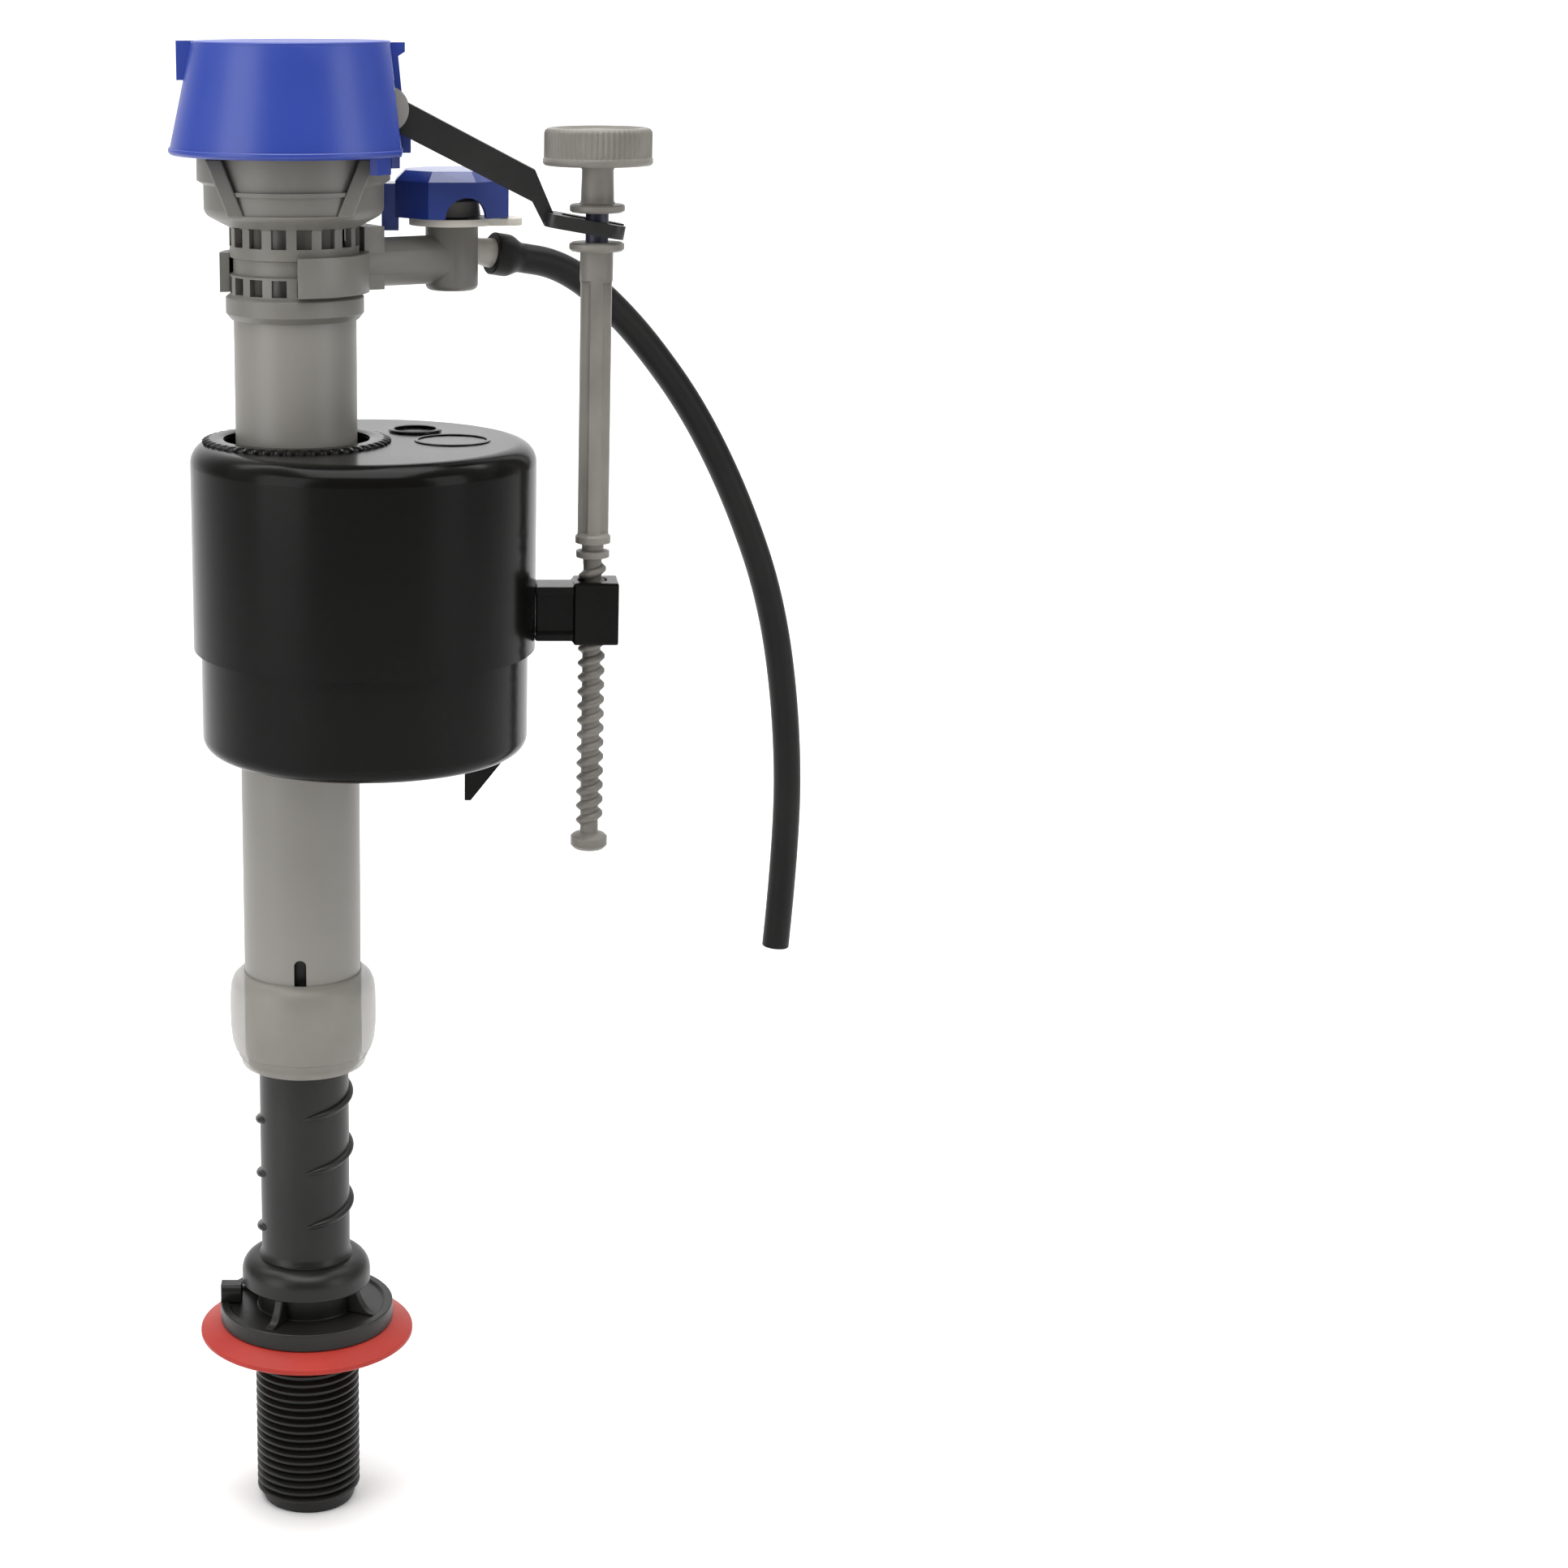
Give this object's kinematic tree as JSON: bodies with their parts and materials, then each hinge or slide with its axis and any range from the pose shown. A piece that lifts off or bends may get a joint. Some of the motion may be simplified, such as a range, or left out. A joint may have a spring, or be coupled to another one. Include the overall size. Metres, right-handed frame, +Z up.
{
  "type": "toilet fill valve",
  "caption": "Float-operated toilet fill valve on a telescoping riser, with a lever, level screw, annular float, refill dial and hanging refill hose.",
  "frame": {"origin": "riser axis at the floor of the tank, in the plane of the underside of the sealing washer", "axes": "+Z up along the riser, +X towards the level adjusting screw, +Y towards the back, where the refill hose hangs"},
  "size_m": [0.1331, 0.0885, 0.3081],
  "materials": {
    "shank": "satin black moulding",
    "shank_stem": "satin black moulding",
    "cone_washer": "soft orange-red rubber",
    "inlet_tube": "plain moulded",
    "inlet_seal": "soft black rubber",
    "riser_tube": "satin grey extrusion",
    "lock_ring": "cloudy translucent moulding",
    "valve_body": "matt grey moulding",
    "diaphragm": "soft black rubber",
    "pilot_pin": "drawn wire",
    "cap": "glossy blue moulding",
    "lever_pivot": "plain grey moulding",
    "float_lever": "satin black moulding",
    "lever_pad": "soft black rubber",
    "screw_bush": "smooth black moulding",
    "adjusting_screw": "cloudy translucent moulding",
    "float_upper_shell": "glossy black moulding",
    "float_bracket": "satin black moulding",
    "float_lower_shell": "glossy black moulding",
    "float_fin": "satin black moulding",
    "refill_clamp": "matt grey moulding",
    "refill_plate": "cream moulding",
    "refill_stem": "matt grey moulding",
    "stem_seal": "soft black rubber",
    "refill_dial": "glossy blue moulding",
    "refill_nipple": "pale grey moulding",
    "refill_hose": "satin black flexible tube"
  },
  "bodies": {
    "base": {"shank": "shank", "shank_stem": "shank_stem", "cone_washer": "cone_washer"},
    "seal_carrier": {"inlet_seal": "inlet_seal"},
    "valve": {"riser_tube": "riser_tube", "inlet_tube": "inlet_tube", "valve_body": "valve_body", "diaphragm": "diaphragm", "pilot_pin": "pilot_pin", "cap": "cap", "lever_pivot": "lever_pivot"},
    "lock_ring": {"lock_ring": "lock_ring"},
    "bush": {"screw_bush": "screw_bush"},
    "screw": {"adjusting_screw": "adjusting_screw"},
    "float": {"float_upper_shell": "float_upper_shell", "float_bracket": "float_bracket", "float_lower_shell": "float_lower_shell", "float_fin": "float_fin"},
    "lever": {"float_lever": "float_lever", "lever_pad": "lever_pad"},
    "refill": {"refill_clamp": "refill_clamp", "refill_plate": "refill_plate", "refill_nipple": "refill_nipple", "refill_hose": "refill_hose"},
    "dial": {"refill_dial": "refill_dial", "refill_stem": "refill_stem", "stem_seal": "stem_seal"}
  },
  "joints": [
    {"name": "height_slide", "type": "slide", "parent": "base", "child": "seal_carrier", "axis": [0, 0, 1], "range_m": [-0.0364, 0.0485]},
    {"name": "height_twist", "type": "hinge", "parent": "seal_carrier", "child": "valve", "pos_m": [0, 0, 0.1], "axis": [0, 0, 1], "range_deg": [-1080, 1440]},
    {"name": "lock_ring_slide", "type": "slide", "parent": "valve", "child": "lock_ring", "axis": [0, 0, 1], "range_m": [0, 0.006]},
    {"name": "float_travel", "type": "slide", "parent": "valve", "child": "bush", "axis": [0, 0, 1], "range_m": [0, 0.01]},
    {"name": "screw_turn", "type": "hinge", "parent": "bush", "child": "screw", "pos_m": [0.0592, 0, 0.2], "axis": [0, 0, 1], "range_deg": [-360, 4680]},
    {"name": "level_adjust", "type": "slide", "parent": "bush", "child": "float", "axis": [0, 0, 1], "range_m": [-0.0391, 0.0031]},
    {"name": "lever_swing", "type": "hinge", "parent": "valve", "child": "lever", "pos_m": [0.0182, 0, 0.2568], "axis": [0, -1, 0], "range_deg": [-0.2, 14]},
    {"name": "refill_swivel", "type": "hinge", "parent": "valve", "child": "refill", "pos_m": [0, 0, 0.2256], "axis": [0, 0, 1], "range_deg": [0, 75]},
    {"name": "dial_turn", "type": "hinge", "parent": "refill", "child": "dial", "pos_m": [0.0309, 0.016, 0.24], "axis": [0, 0, 1], "range_deg": [-110, 110]}
  ],
  "couplings": [
    {"joint": "height_slide", "follows": "height_twist", "m_per_rad": 0.0019258},
    {"joint": "level_adjust", "follows": "screw_turn", "m_per_rad": -0.00047746},
    {"joint": "lever_swing", "follows": "float_travel", "rad_per_m": 23.911}
  ]
}
